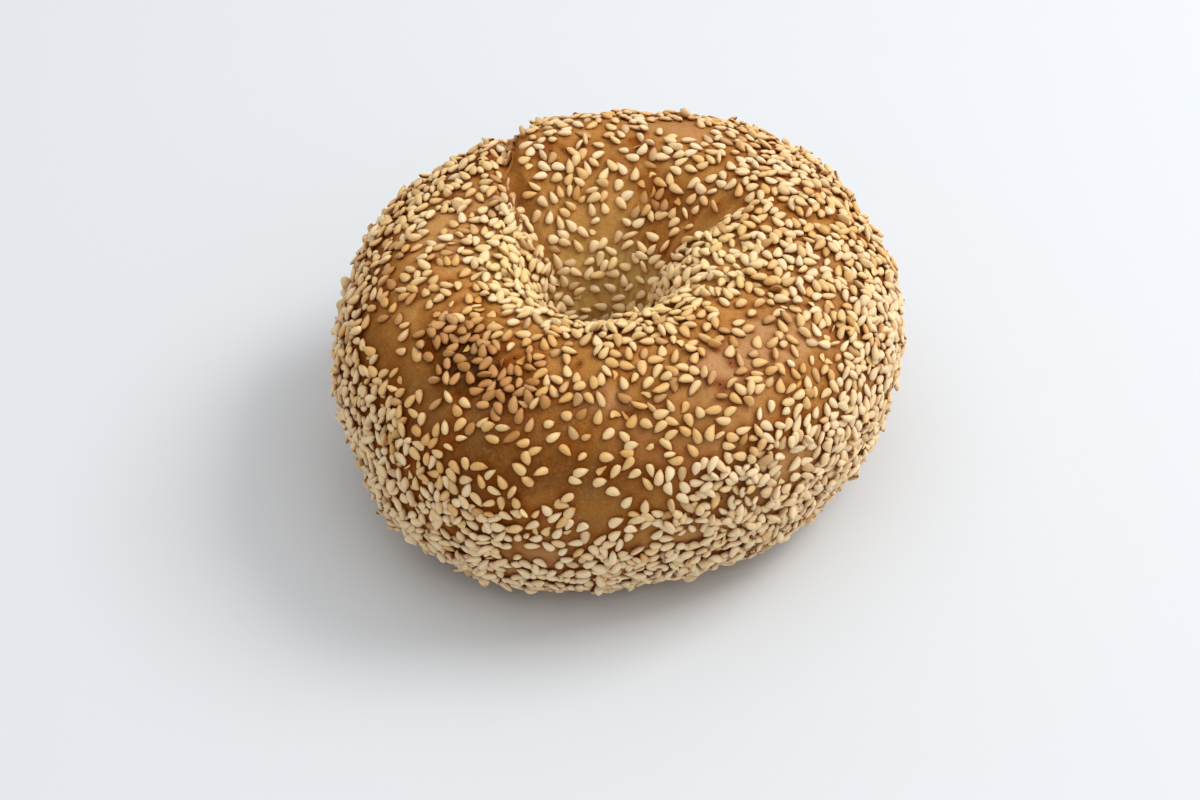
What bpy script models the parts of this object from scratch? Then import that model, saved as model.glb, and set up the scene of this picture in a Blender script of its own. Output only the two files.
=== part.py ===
"""Sesame bagel: one hand-rolled ring of bread, as a single closed solid.

The rope of dough is thicker in some places than in others and its two ends overlap, so the ring has
a back segment that sits a little further out, dips into the hole as a slope instead of a wall, and is
parted from the rest by a long seam on one side and a short crease on the other.  The solid reaches to
the tips of the seeds that coat the crust.

Run it with blender --background --python part.py, or from Blender's text editor.
Sizes are in millimetres and angles in degrees.  The ring angle runs from +X toward +Y, and the section
angle runs from the outer side over the top into the hole and back along the underside.
"""
import bpy
import numpy as np

NAME = "bagel"
MM = 0.001

# Mesh resolution: steps round the ring and round the section of the rope.
RING_STEPS = 116
SECTION_STEPS = 42

# The ring, seen from above and in section.  A size that changes round the ring is its mean followed by
# waves, each with its order, cosine and sine.
OUTER_RADIUS = (53.7, (1, 0.0, 5.0), (2, 0.8, 2.8), (3, 0.0, 0.2), (4, -0.9, -0.8))
CROWN_RADIUS = (29.5, (1, 0.0, 3.0))
WAIST_RADIUS = (7.9, (1, -2.55, -0.15), (2, 1.15, 0.0))
FOOT_RADIUS = (30.0, (1, 0.0, 3.0))
TOP_HEIGHT = (50.8, (1, -0.6, 0.8), (2, -0.2, 0.0))
BELLY_HEIGHT = (25.5, (1, 0.5, 0.3))
WAIST_HEIGHT = (21.0,)

# How far the rope's round underside is pressed below the plate: this makes the flat foot.
FOOT_SINK = 1.8

# Fullness of each quarter of the section: 2 is an ellipse, more is squarer, less is flatter.
OUTER_FULLNESS = 2.0
UNDER_FULLNESS = 2.2
HOLE_FULLNESS = (3.1, (1, 0.35, 0.28), (2, 0.1, 0.0))
BACK_SLOPE_FULLNESS = 1.55

# The back segment lies between the crease and the seam.  The seam slants across the rope, so its angle
# falls by SEAM_SLANT for each millimetre outward of SEAM_MIDDLE.
SEAM_ANGLE = 135.0
SEAM_SLANT = -1.04
SEAM_MIDDLE = 28.0
SEAM_BLEND = 3.0
CREASE_ANGLE = 35.0
CREASE_BLEND = 6.5
BACK_OFFSET = 1.3
BACK_CROWN_OFFSET = 2.0
BACK_FADE_ANGLE = 60.0

# Grooves pressed in along the seam and the crease: depth, half width, and the radii and heights
# between which they fade out.
SEAM_DEPTH = 2.4
SEAM_HALF_WIDTH = 4.0
SEAM_INNER_FADE = (12.0, 17.0)
SEAM_LOWER_FADE = (16.0, 34.0)
CREASE_DEPTH = 2.2
CREASE_HALF_WIDTH = 4.2
CREASE_INNER_FADE = (10.0, 16.0)
CREASE_OUTER_FADE = (26.0, 34.0)

# Soft lumps of the proofed dough, as waves through space: height, wavelength, azimuth and elevation of
# the direction that the wave runs in, and phase.  They fade out toward the foot.
LUMPS = (
    (0.42, 47.0, 20.0, 10.0, 0.4),
    (0.36, 35.0, 75.0, -30.0, 2.1),
    (0.30, 29.0, 140.0, 35.0, 4.0),
    (0.22, 21.0, -35.0, -15.0, 1.2),
)
LUMP_FADE = (0.0, 8.0)

CRUST_COLOUR = (0.46, 0.20, 0.06, 1.0)
CRUST_ROUGHNESS = 0.5


def around(ring, size):
    """A size at each ring angle: its mean plus each wave's cosine and sine parts."""
    mean, *waves = size
    value = np.full_like(ring, mean)
    for order, cosine, sine in waves:
        value = value + cosine * np.cos(order * ring) + sine * np.sin(order * ring)
    return value


def smooth_step(value, start=0.0, end=1.0):
    """0 before start, 1 past end and the cubic 3t^2 - 2t^3 between them."""
    t = np.clip((value - start) / (end - start), 0.0, 1.0)
    return t * t * (3.0 - 2.0 * t)


def quarter(section, fullness):
    """Share of the two half axes on a superellipse, |x|^n + |y|^n = 1, in the direction of the angle."""
    across = np.abs(np.cos(section))
    upward = np.abs(np.sin(section))
    reach = (across ** fullness + upward ** fullness) ** (-1.0 / fullness)
    return across * reach, upward * reach


def join_distances(ring, radius):
    """Distance in mm along the ring into the back segment, from its seam and from its crease."""
    seam = np.radians(SEAM_ANGLE + SEAM_SLANT * (radius - SEAM_MIDDLE))
    crease = np.radians(CREASE_ANGLE)
    return (seam - ring) * radius, (ring - crease) * radius


def section_points(ring, section):
    """Radius, height and groove depth at each ring and section angle.

    The section is four quarter superellipses that meet at the outer side, the crown, the waist of the
    hole and the foot, each with its own half axes and fullness.
    """
    outer = around(ring, OUTER_RADIUS)
    crown = around(ring, CROWN_RADIUS)
    waist = around(ring, WAIST_RADIUS)
    foot = around(ring, FOOT_RADIUS)
    top = around(ring, TOP_HEIGHT)
    belly = around(ring, BELLY_HEIGHT)
    waist_height = around(ring, WAIST_HEIGHT)

    cosine = np.cos(section)
    is_outer = cosine >= 0.0
    is_upper = np.sin(section) >= 0.0
    rough_radius = np.where(is_outer, crown + (outer - crown) * cosine, crown + (crown - waist) * cosine)
    from_seam, from_crease = join_distances(ring, rough_radius)
    back = smooth_step(from_seam / SEAM_BLEND + 0.5) * smooth_step(from_crease / CREASE_BLEND + 0.5)
    outward = back * smooth_step(ring, np.radians(CREASE_ANGLE), np.radians(CREASE_ANGLE + BACK_FADE_ANGLE))
    outer = outer + BACK_OFFSET * outward
    crown = crown + BACK_CROWN_OFFSET * outward

    hole_fullness = around(ring, HOLE_FULLNESS) * (1.0 - back) + BACK_SLOPE_FULLNESS * back
    fullness = np.where(is_upper, np.where(is_outer, OUTER_FULLNESS, hole_fullness), UNDER_FULLNESS)
    across, upward = quarter(section, fullness)

    middle = np.where(is_upper, crown, foot)
    side_height = np.where(is_outer, belly, waist_height)
    radius = middle + across * np.where(is_outer, outer - middle, waist - middle)
    height = side_height + upward * np.where(is_upper, top - side_height, -FOOT_SINK - side_height)

    groove = SEAM_DEPTH * smooth_step(1.0 - np.abs(from_seam) / SEAM_HALF_WIDTH)
    groove = groove * smooth_step(radius, *SEAM_INNER_FADE) * smooth_step(height, *SEAM_LOWER_FADE)
    crease = CREASE_DEPTH * smooth_step(1.0 - np.abs(from_crease) / CREASE_HALF_WIDTH)
    crease = crease * smooth_step(radius, *CREASE_INNER_FADE)
    crease = crease * (1.0 - smooth_step(radius, *CREASE_OUTER_FADE))
    return radius, height, np.where(is_upper, groove + crease, 0.0)


def lumps(points):
    """Soft swelling of the dough at each point: a sum of plane sine waves, faded out near the foot."""
    swell = np.zeros(points.shape[:-1])
    for height, wavelength, azimuth, elevation, phase in LUMPS:
        flat, rise = np.cos(np.radians(elevation)), np.sin(np.radians(elevation))
        direction = np.array([flat * np.cos(np.radians(azimuth)), flat * np.sin(np.radians(azimuth)), rise])
        swell = swell + height * np.sin(2.0 * np.pi * (points @ direction) / wavelength + phase)
    return swell * smooth_step(points[..., 2], *LUMP_FADE)


def grid_normals(points):
    """Outward unit normals of a closed grid, from the cross product of its two central differences."""
    along = np.roll(points, -1, axis=0) - np.roll(points, 1, axis=0)
    about = np.roll(points, -1, axis=1) - np.roll(points, 1, axis=1)
    normal = np.cross(along, about)
    return normal / np.linalg.norm(normal, axis=-1, keepdims=True)


def ring_grid(ring_steps, section_steps):
    """The whole surface in mm as a grid: the ring, then grooves and lumps along its normals, then a flat
    foot where the rope would reach below the plate."""
    ring_line = np.linspace(0.0, 2.0 * np.pi, ring_steps, endpoint=False)
    section_line = np.linspace(0.0, 2.0 * np.pi, section_steps, endpoint=False)
    ring, section = np.meshgrid(ring_line, section_line, indexing="ij")
    radius, height, groove = section_points(ring, section)
    points = np.stack([radius * np.cos(ring), radius * np.sin(ring), height], axis=-1)
    points = points + grid_normals(points) * (lumps(points) - groove)[..., None]
    points[..., 2] = np.maximum(points[..., 2], 0.0)
    middle = 0.5 * (points.min(axis=(0, 1)) + points.max(axis=(0, 1)))
    return points - np.array([middle[0], middle[1], 0.0])


def grid_faces(ring_steps, section_steps):
    """One quad for each cell of a grid that closes on itself both ways, facing outward."""
    ring_index, section_index = np.meshgrid(np.arange(ring_steps), np.arange(section_steps), indexing="ij")
    next_ring = (ring_index + 1) % ring_steps
    next_section = (section_index + 1) % section_steps
    corners = [
        ring_index * section_steps + section_index,
        next_ring * section_steps + section_index,
        next_ring * section_steps + next_section,
        ring_index * section_steps + next_section,
    ]
    return np.stack(corners, axis=-1).reshape(-1, 4)


def crust_material():
    """Browned crust."""
    material = bpy.data.materials.new("browned crust")
    material.use_nodes = True
    shader = material.node_tree.nodes["Principled BSDF"]
    shader.inputs["Base Color"].default_value = CRUST_COLOUR
    shader.inputs["Roughness"].default_value = CRUST_ROUGHNESS
    shader.inputs["Metallic"].default_value = 0.0
    material.diffuse_color = CRUST_COLOUR
    return material


def make_bagel():
    """The bagel as one smooth-shaded mesh object, standing on z = 0 with its outline round the origin."""
    points = ring_grid(RING_STEPS, SECTION_STEPS).reshape(-1, 3) * MM
    faces = grid_faces(RING_STEPS, SECTION_STEPS)
    mesh = bpy.data.meshes.new(NAME)
    mesh.from_pydata(points.tolist(), [], faces.tolist())
    mesh.validate()
    mesh.shade_smooth()
    mesh.materials.append(crust_material())
    bagel = bpy.data.objects.new(NAME, mesh)
    bpy.context.scene.collection.objects.link(bagel)
    return bagel


def clear_scene():
    """Remove whatever the scene starts with."""
    for item in list(bpy.data.objects):
        bpy.data.objects.remove(item, do_unlink=True)


def main():
    clear_scene()
    make_bagel()


main()
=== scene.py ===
"""Sesame bagel: browned crust, its coat of seeds, and a plain studio round them.

Shapes are worked out in millimetres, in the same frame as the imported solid, and written to the meshes
in metres.  The ring angle runs from +X toward +Y; the section angle runs from the outer side over the
top into the hole and back along the underside.
"""

import bpy
import numpy as np
from mathutils import Matrix, Vector


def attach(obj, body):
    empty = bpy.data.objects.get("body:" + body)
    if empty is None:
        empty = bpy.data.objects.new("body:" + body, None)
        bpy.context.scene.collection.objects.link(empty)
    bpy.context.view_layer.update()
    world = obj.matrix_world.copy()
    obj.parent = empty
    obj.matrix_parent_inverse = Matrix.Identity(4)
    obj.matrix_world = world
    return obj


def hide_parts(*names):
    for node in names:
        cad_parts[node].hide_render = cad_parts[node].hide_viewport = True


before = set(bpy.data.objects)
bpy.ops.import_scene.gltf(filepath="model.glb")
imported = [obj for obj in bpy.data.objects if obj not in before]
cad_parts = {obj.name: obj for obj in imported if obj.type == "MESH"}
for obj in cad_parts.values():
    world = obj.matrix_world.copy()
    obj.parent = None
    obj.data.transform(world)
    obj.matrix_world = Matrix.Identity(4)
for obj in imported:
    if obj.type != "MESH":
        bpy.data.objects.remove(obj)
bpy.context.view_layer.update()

MM = 0.001
SEED_OF_CHANCE = 41

# -------- the bread

# A size that changes round the ring is its mean followed by waves: order, cosine, sine.
OUTER_RADIUS = (53.7, (1, 0.0, 5.0), (2, 0.8, 2.8), (3, 0.0, 0.2), (4, -0.9, -0.8))
CROWN_RADIUS = (29.5, (1, 0.0, 3.0))
WAIST_RADIUS = (7.9, (1, -2.55, -0.15), (2, 1.15, 0.0))
FOOT_RADIUS = (30.0, (1, 0.0, 3.0))
TOP_HEIGHT = (50.8, (1, -0.6, 0.8), (2, -0.2, 0.0))
BELLY_HEIGHT = (25.5, (1, 0.5, 0.3))
WAIST_HEIGHT = (21.0,)
FOOT_SINK = 1.8

# Fullness of each quarter of the section: 2 is an ellipse, more is squarer, less is flatter.
OUTER_FULLNESS = 2.0
UNDER_FULLNESS = 2.2
HOLE_FULLNESS = (3.1, (1, 0.35, 0.28), (2, 0.1, 0.0))
BACK_SLOPE_FULLNESS = 1.55

# The back segment lies between the crease and the slanting seam.
SEAM_ANGLE = 135.0
SEAM_SLANT = -1.04
SEAM_MIDDLE = 28.0
SEAM_BLEND = 3.0
CREASE_ANGLE = 35.0
CREASE_BLEND = 6.5
BACK_OFFSET = 1.3
BACK_CROWN_OFFSET = 2.0
BACK_FADE_ANGLE = 60.0

# Grooves pressed in along the seam and the crease.
SEAM_DEPTH = 2.4
SEAM_HALF_WIDTH = 4.0
SEAM_INNER_FADE = (12.0, 17.0)
SEAM_LOWER_FADE = (16.0, 34.0)
CREASE_DEPTH = 2.2
CREASE_HALF_WIDTH = 4.2
CREASE_INNER_FADE = (10.0, 16.0)
CREASE_OUTER_FADE = (26.0, 34.0)

# Soft lumps of the proofed dough: height, wavelength, azimuth, elevation and phase of each wave.
LUMPS = (
    (0.42, 47.0, 20.0, 10.0, 0.4),
    (0.36, 35.0, 75.0, -30.0, 2.1),
    (0.30, 29.0, 140.0, 35.0, 4.0),
    (0.22, 21.0, -35.0, -15.0, 1.2),
)
LUMP_FADE = (0.0, 8.0)

# The crust lies this far inside the tips of its coat of seeds.
COAT = 1.0
CRUST_RING_STEPS = 430
CRUST_SECTION_STEPS = 210

# Fine relief of the skin: wavelength and height of each set of waves.
SKIN_RELIEF = ((10.0, 0.10), (4.5, 0.05), (2.2, 0.022))
# Noise made of plane waves: how many, by what shares their wavelengths differ, and its height.
WAVES_IN_A_SET = 14
WAVE_STRETCH = (0.75, 1.35)
RIPPLE_HEIGHT = 0.7

# Shares of a patch's half spans at which it begins to fade and is gone, and half the width in degrees
# over which a band along a join fades at its ends.
PATCH_EDGE = (0.6, 1.3)
BAND_END_EDGE = 6.0
# How many times the count of seeds spreads to the grid cells beside it, to say how crowded they are.
CROWDING_SPREADS = 3

# -------- the seeds

# Mean and spread in mm of whole seeds, and how far the crust takes them in.
SEED_LENGTH = (2.88, 0.25)
SEED_WIDTH = (1.73, 0.17)
SEED_THICKNESS = (1.02, 0.10)
SEED_SINK = 0.10

# Shares of small seeds, husks, sunk seeds and specks.  A seed's kind is where one random number from 0 to
# 1 falls: small from 0 up, husks and sunk ones from their starts up, and specks from 1 down.  The scales
# are least and greatest shares of length, width and thickness.
SMALL_SHARE = 0.12
SMALL_SCALE = ((0.68, 0.88), (0.68, 0.88), (0.85, 1.0))
HUSK_START = 0.5
HUSK_SHARE = 0.036
HUSK_SCALE = ((0.45, 0.85), (0.55, 1.05), (0.20, 0.32))
SUNK_START = 0.6
SUNK_SHARE = 0.06
SUNK_DEPTH = (0.25, 0.50)
SUNK_GLAZE = (0.5, 1.0)
SPECK_SHARE = 0.012
SPECK_SCALE = ((0.12, 0.26), (0.16, 0.32), (0.20, 0.40))
# Where broken husks lie in drifts, as soft-edged patches that add to their share.
HUSK_PATCHES = (
    (328, 52, 11, 11, 0.26), (218, 12, 12, 14, 0.12), (262, 50, 7, 6, 0.16), (256, 4, 6, 5, 0.16),
    (204, 92, 12, 10, 0.12), (346, 66, 8, 8, 0.10), (38, 108, 10, 10, 0.12),
)

# How seeds lie: spreads of pitch and roll in radians; the share that stand on edge, how far they roll and
# how much of the browned rim and its painted shade they keep; and the share that tilt, as husks do, and how
# far they pitch.
PITCH_SPREAD = 0.09
ROLL_SPREAD = 0.12
STANDING_SHARE = 0.07
STANDING_ROLL = 1.2
STANDING_RIM_AND_SHADE = 0.45
TILTED_SHARE = 0.13
TILTED_PITCH = 0.38
# How seeds rest on earlier ones: how far off those are looked for, the share of length and width at which
# their height is read, and its limit in mm; then shares of the roll, the middle's height and the lift
# that are taken up, and of length and width by which tilted and standing seeds rise.
REST_DISTANCE = 4.0
REST_REACH = 0.42
REST_HEIGHT = 1.3
REST_ROLL = 0.7
REST_MIDDLE = 0.85
REST_LIFT = 0.9
TILTED_LIFT = 0.30
STANDING_LIFT = 0.25

# Shape of one seed: points round its section and, below, along its length.
SEED_SIDES = 8
# Shares of a seed's length at which its rings of points lie, and the powers of its outline and its
# thickness toward the pointed tip and toward the round end.
SEED_RINGS = (0.035, 0.16, 0.36, 0.60, 0.82, 0.96)
OUTLINE_POWERS = (0.80, 0.42)
THICKNESS_POWERS = (0.55, 0.45)
# Below 1 the cross-section is fuller than an ellipse, with a flatter top.
SECTION_POWER = 0.92
# How much browned rim and painted shade a point has, by its height over the half thickness (none on top,
# some on the sides, most underneath), and at the tip and the round end.
RIM_AND_SHADE_BY_HEIGHT = ((-1.0, -0.5, 0.0, 0.71, 1.0), (1.0, 0.9, 0.42, 0.14, 0.0))
RIM_AND_SHADE_AT_ENDS = (0.7, 0.6)
# Unevenness by kind: how ragged the outline is, and how far the seed curls.
SEED_UNEVEN = (0.03, 0.05)
TOASTED_UNEVEN = (0.04, 0.06)
HUSK_UNEVEN = (0.14, 0.16)
SPECK_UNEVEN = (0.20, 0.10)

# Seeds that arrive for each mm^2, how far the middles of a seed's two lobes lie from its own in mm, and
# the size in mm of the cells in which seeds are looked up.
SEED_ARRIVALS = 2.6
SEED_LOBE_OFFSET = 0.62
SETTLE_CELL = 2.6
# Room that one seed keeps round each of its two lobes, by how thick the coat is there.
ROOM_BY_COVER = ((0.0, 0.2, 0.4, 0.6, 0.8, 1.0, 1.3), (0.86, 0.76, 0.66, 0.58, 0.50, 0.43, 0.34))
# Share of arriving seeds that stick, by how thick the coat is there.
STICK_BY_COVER = ((0.0, 0.2, 0.4, 0.6, 0.8, 1.0), (0.0, 0.038, 0.115, 0.23, 0.50, 1.0))

# Thickness of the coat: a base value changed by soft-edged patches, each given by its ring angle and
# section angle, half spans along both, and the change that it makes.  All patches are given like this.
BASE_COVER = 0.66
MOST_COVER = 1.3
COVER_PATCHES = (
    # thick bands, and the lips of the hole
    (212, 2, 46, 36, 0.40), (300, -38, 130, 26, 0.20), (292, -10, 34, 28, 0.30), (345, 5, 42, 42, 0.24),
    (20, 45, 46, 34, 0.24), (196, 113, 52, 17, 0.34), (272, 113, 36, 13, 0.60), (0, 125, 36, 28, 0.40),
    (190, 124, 40, 12, 0.30), (330, 122, 30, 10, 0.30), (145, 56, 24, 26, 0.24), (108, 92, 22, 12, 0.10),
    (12, 88, 30, 14, 0.12), (160, 5, 40, 38, 0.36), (225, 70, 26, 14, 0.30), (60, 15, 60, 36, 0.16),
    (110, 15, 50, 36, 0.10), (352, 60, 24, 22, 0.14), (306, 10, 30, 24, 0.20), (295, 22, 16, 13, 0.16),
    # stretches that are mostly thin
    (256, 30, 30, 20, -0.22), (90, 138, 46, 26, 0.04), (206, 48, 20, 8, -0.34), (90, 75, 40, 9, -0.06),
    (0, -90, 400, 42, -0.22), (290, -28, 50, 20, 0.14), (266, -22, 18, 16, -0.16),
    # bare spots
    (255, -8, 5, 6, -0.8), (276, -2, 5, 7, -0.8), (247, -22, 4, 5, -0.7), (285, -6, 4, 5, -0.5),
    (249, 352, 4, 5, -0.8), (266, 14, 5, 9, -0.9), (254, 24, 5, 5, -0.6), (243, 41, 4, 9, -0.5),
    (258, 37, 4, 5, -0.6), (200, 46, 8, 6, -0.5), (217, 50, 6, 4, -0.5), (229, 42, 4, 9, -0.3),
    (201, 66, 5, 5, -0.8), (312, 12, 4, 12, -0.9), (292, 38, 4, 6, -0.5), (266, 67, 4, 4, -0.6),
    (303, 77, 4, 8, -0.6), (322, 80, 6, 6, -0.5), (73, 73, 9, 9, -0.8), (164, 78, 8, 8, -0.6),
    (130, 86, 4, 9, -0.8), (43, 113, 6, 6, -0.7), (95, 131, 6, 6, -0.6), (112, 124, 6, 5, -0.5),
    (273, 25, 3, 5, -0.5), (243, 328, 4, 5, -0.4), (330, 92, 5, 5, -0.4), (283, 88, 5, 5, -0.4),
    (180, 70, 4, 4, -0.4), (340, 20, 4, 5, -0.4), (20, 62, 4, 4, -0.4), (62, 128, 5, 5, -0.5),
)
# Along the joins: thick on the lobes' edges, bare in the folds.  Each row gives the join, the nearest and
# furthest distance, soft edge, first and last section angle, and change.
COVER_BY_JOIN = (
    ("seam", -7.0, -0.4, 0.8, 40.0, 150.0, 0.38),
    ("seam", 0.2, 3.2, 0.8, 62.0, 100.0, -0.75),
    ("seam", 0.0, 1.8, 0.8, 100.0, 150.0, -0.45),
    ("crease", -7.0, -0.6, 0.8, 85.0, 150.0, 0.30),
    ("crease", 0.2, 2.4, 0.8, 92.0, 150.0, -0.45),
)
# Wavelength in mm and height of the noise in it.
COVER_NOISE = (7.0, 0.14)

# Where the seeds stay a buttery cream: round the rim of the hole, deep inside it, and beside the seam.
BUTTER_PATCHES = (
    (190, 122, 50, 24, 0.9), (272, 120, 40, 16, 0.9), (350, 124, 50, 24, 0.8), (95, 150, 60, 26, 0.7),
    (150, 62, 20, 26, 0.4),
)
# Where seeds are deep in the hole: section angles at which that begins, is full, begins to fade and is
# over, and heights in mm between which it fades out.
DEEP_SECTION = (122.0, 160.0, 200.0, 240.0)
DEEP_HEIGHT = (22.0, 40.0)

# How toasted seeds are: at the foot, how much more at the top and the heights between which it rises, the
# share lost in the hole and where, wavelength and height of noise, and spread from seed to seed.
TOAST_AT_FOOT = 0.06
TOAST_GAIN = 0.46
TOAST_RISE = (22.0, 44.0)
TOAST_HOLE_LOSS = 0.75
TOAST_HOLE_SECTION = (112.0, 135.0)
TOAST_NOISE = (9.0, 0.10)
TOAST_SPREAD = 0.13
TOAST_PATCHES = (
    (222, 70, 24, 15, 0.34), (216, 50, 44, 34, 0.14), (275, 78, 40, 26, 0.07), (178, 76, 26, 22, -0.06),
    (272, 108, 36, 12, -0.14), (68, 112, 13, 9, 0.50), (300, 68, 16, 10, 0.10), (110, 85, 60, 34, -0.18),
    (10, 60, 50, 34, -0.14), (302, 16, 34, 28, -0.20), (345, 20, 40, 40, -0.16), (4, 78, 18, 16, -0.16),
    (25, 20, 40, 34, -0.10), (196, 113, 52, 17, -0.30), (0, 125, 34, 28, -0.28), (248, 50, 30, 16, 0.03),
    (185, 12, 46, 34, -0.21), (52, 88, 26, 30, -0.26), (150, 70, 26, 40, -0.10),
)
# Toast from which a seed counts as golden and as toasted, and the height in mm that parts the low pale
# seeds from the high ones.
GOLDEN_FROM = 0.26
TOASTED_FROM = 0.72
HIGH_FROM = 20.0


# ======== shapes

def around(ring, size):
    """A size at each ring angle: its mean plus each wave's cosine and sine parts."""
    mean, *waves = size
    value = np.full_like(ring, mean)
    for order, cosine, sine in waves:
        value = value + cosine * np.cos(order * ring) + sine * np.sin(order * ring)
    return value


def smooth_step(value, start=0.0, end=1.0):
    """0 before start, 1 past end and the cubic 3t^2 - 2t^3 between them."""
    t = np.clip((value - start) / (end - start), 0.0, 1.0)
    return t * t * (3.0 - 2.0 * t)


def quarter(section, fullness):
    """Share of the two half axes on a superellipse, |x|^n + |y|^n = 1, in the direction of the angle."""
    across = np.abs(np.cos(section))
    upward = np.abs(np.sin(section))
    reach = (across ** fullness + upward ** fullness) ** (-1.0 / fullness)
    return across * reach, upward * reach


def join_distances(ring, radius):
    """Distance in mm along the ring into the back segment, from its seam and from its crease."""
    seam = np.radians(SEAM_ANGLE + SEAM_SLANT * (radius - SEAM_MIDDLE))
    crease = np.radians(CREASE_ANGLE)
    return (seam - ring) * radius, (ring - crease) * radius


def section_points(ring, section):
    """Radius, height, groove depth and distances from the seam and the crease of the rope of dough: four
    quarter superellipses that meet at the outer side, the crown, the waist of the hole and the foot, with
    the back segment moved outward."""
    sizes = (OUTER_RADIUS, CROWN_RADIUS, WAIST_RADIUS, FOOT_RADIUS, TOP_HEIGHT, BELLY_HEIGHT, WAIST_HEIGHT)
    outer, crown, waist, foot, top, belly, waist_height = (around(ring, size) for size in sizes)

    cosine = np.cos(section)
    is_outer = cosine >= 0.0
    is_upper = np.sin(section) >= 0.0
    rough_radius = np.where(is_outer, crown + (outer - crown) * cosine, crown + (crown - waist) * cosine)
    from_seam, from_crease = join_distances(ring, rough_radius)
    back = smooth_step(from_seam / SEAM_BLEND + 0.5) * smooth_step(from_crease / CREASE_BLEND + 0.5)
    outward = back * smooth_step(ring, np.radians(CREASE_ANGLE), np.radians(CREASE_ANGLE + BACK_FADE_ANGLE))
    outer = outer + BACK_OFFSET * outward
    crown = crown + BACK_CROWN_OFFSET * outward

    hole_fullness = around(ring, HOLE_FULLNESS) * (1.0 - back) + BACK_SLOPE_FULLNESS * back
    fullness = np.where(is_upper, np.where(is_outer, OUTER_FULLNESS, hole_fullness), UNDER_FULLNESS)
    across, upward = quarter(section, fullness)
    middle = np.where(is_upper, crown, foot)
    side_height = np.where(is_outer, belly, waist_height)
    radius = middle + across * np.where(is_outer, outer - middle, waist - middle)
    height = side_height + upward * np.where(is_upper, top - side_height, -FOOT_SINK - side_height)

    groove = SEAM_DEPTH * smooth_step(1.0 - np.abs(from_seam) / SEAM_HALF_WIDTH)
    groove = groove * smooth_step(radius, *SEAM_INNER_FADE) * smooth_step(height, *SEAM_LOWER_FADE)
    crease = CREASE_DEPTH * smooth_step(1.0 - np.abs(from_crease) / CREASE_HALF_WIDTH)
    crease = crease * smooth_step(radius, *CREASE_INNER_FADE)
    crease = crease * (1.0 - smooth_step(radius, *CREASE_OUTER_FADE))
    return radius, height, np.where(is_upper, groove + crease, 0.0), join_distances(ring, radius)


def direction(azimuth, elevation):
    """Unit vector toward an azimuth and an elevation in degrees."""
    flat = np.cos(np.radians(elevation))
    azimuth = np.radians(azimuth)
    return np.array([flat * np.cos(azimuth), flat * np.sin(azimuth), np.sin(np.radians(elevation))])


def lumps(points):
    """Soft swelling of the dough at each point: a sum of plane sine waves, faded out near the foot."""
    swell = np.zeros(points.shape[:-1])
    for height, wavelength, azimuth, elevation, phase in LUMPS:
        travel = points @ direction(azimuth, elevation)
        swell = swell + height * np.sin(2.0 * np.pi * travel / wavelength + phase)
    return swell * smooth_step(points[..., 2], *LUMP_FADE)


def ripple(points, wavelength, chance):
    """Even noise from about -1 to 1: a sum of plane sine waves of nearly one wavelength that run in
    random directions, divided by the square root of half their number and scaled by RIPPLE_HEIGHT."""
    heading = chance.normal(size=(WAVES_IN_A_SET, 3))
    heading /= np.linalg.norm(heading, axis=1, keepdims=True)
    stretch = chance.uniform(*WAVE_STRETCH, WAVES_IN_A_SET)
    phase = chance.uniform(0.0, 2.0 * np.pi, WAVES_IN_A_SET)
    angle = points @ (heading * (2.0 * np.pi / wavelength / stretch)[:, None]).T + phase
    return np.sin(angle).sum(axis=-1) / np.sqrt(0.5 * WAVES_IN_A_SET) * RIPPLE_HEIGHT


def grid_normals(points):
    """Outward unit normals of a closed grid, from the cross product of its two central differences."""
    along = np.roll(points, -1, axis=0) - np.roll(points, 1, axis=0)
    about = np.roll(points, -1, axis=1) - np.roll(points, 1, axis=1)
    normal = np.cross(along, about)
    return normal / np.linalg.norm(normal, axis=-1, keepdims=True)


def coat_surface(ring_steps, section_steps):
    """Grid over the tips of the seed coat: the ring with its lumps and grooves along its normals, flat
    underneath, and set with the middle of its outline over the origin.  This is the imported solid."""
    ring_line = np.linspace(0.0, 2.0 * np.pi, ring_steps, endpoint=False)
    section_line = np.linspace(0.0, 2.0 * np.pi, section_steps, endpoint=False)
    ring, section = np.meshgrid(ring_line, section_line, indexing="ij")
    radius, height, groove, joins = section_points(ring, section)
    points = np.stack([radius * np.cos(ring), radius * np.sin(ring), height], axis=-1)
    points = points + grid_normals(points) * (lumps(points) - groove)[..., None]
    points[..., 2] = np.maximum(points[..., 2], 0.0)
    middle = 0.5 * (points.min(axis=(0, 1)) + points.max(axis=(0, 1)))
    middle[2] = 0.0
    return points - middle, ring, section, joins


def band(distance, low, high, edge):
    """1 between two distances, 0 outside them, with soft edges of the given width."""
    return smooth_step(distance - low, -edge, edge) * (1.0 - smooth_step(distance - high, -edge, edge))


def join_change(from_seam, from_crease, section, rows):
    """Change along both joins: each row gives how much one band beside the seam or the crease adds, from
    the join it runs along, its nearest and furthest distance in mm, soft edge and section angles."""
    total = np.zeros_like(from_seam)
    for join, low, high, edge, start, end, change in rows:
        away = from_seam if join == "seam" else from_crease
        beside = band(away, low, high, edge)
        total = total + change * beside * band(np.degrees(section), start, end, BAND_END_EDGE)
    return total


def patches(ring, section, rows):
    """Sum of soft-edged elliptical patches in ring and section angle, each full inside the first share of
    its half spans in PATCH_EDGE and gone at the second."""
    ring_degrees, section_degrees = np.degrees(ring), np.degrees(section)
    total = np.zeros_like(ring)
    for ring_middle, section_middle, ring_span, section_span, change in rows:
        ring_away = (ring_degrees - ring_middle + 180.0) % 360.0 - 180.0
        section_away = (section_degrees - section_middle + 180.0) % 360.0 - 180.0
        away = np.hypot(ring_away / ring_span, section_away / section_span)
        total = total + change * (1.0 - smooth_step(away, *PATCH_EDGE))
    return total


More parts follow.
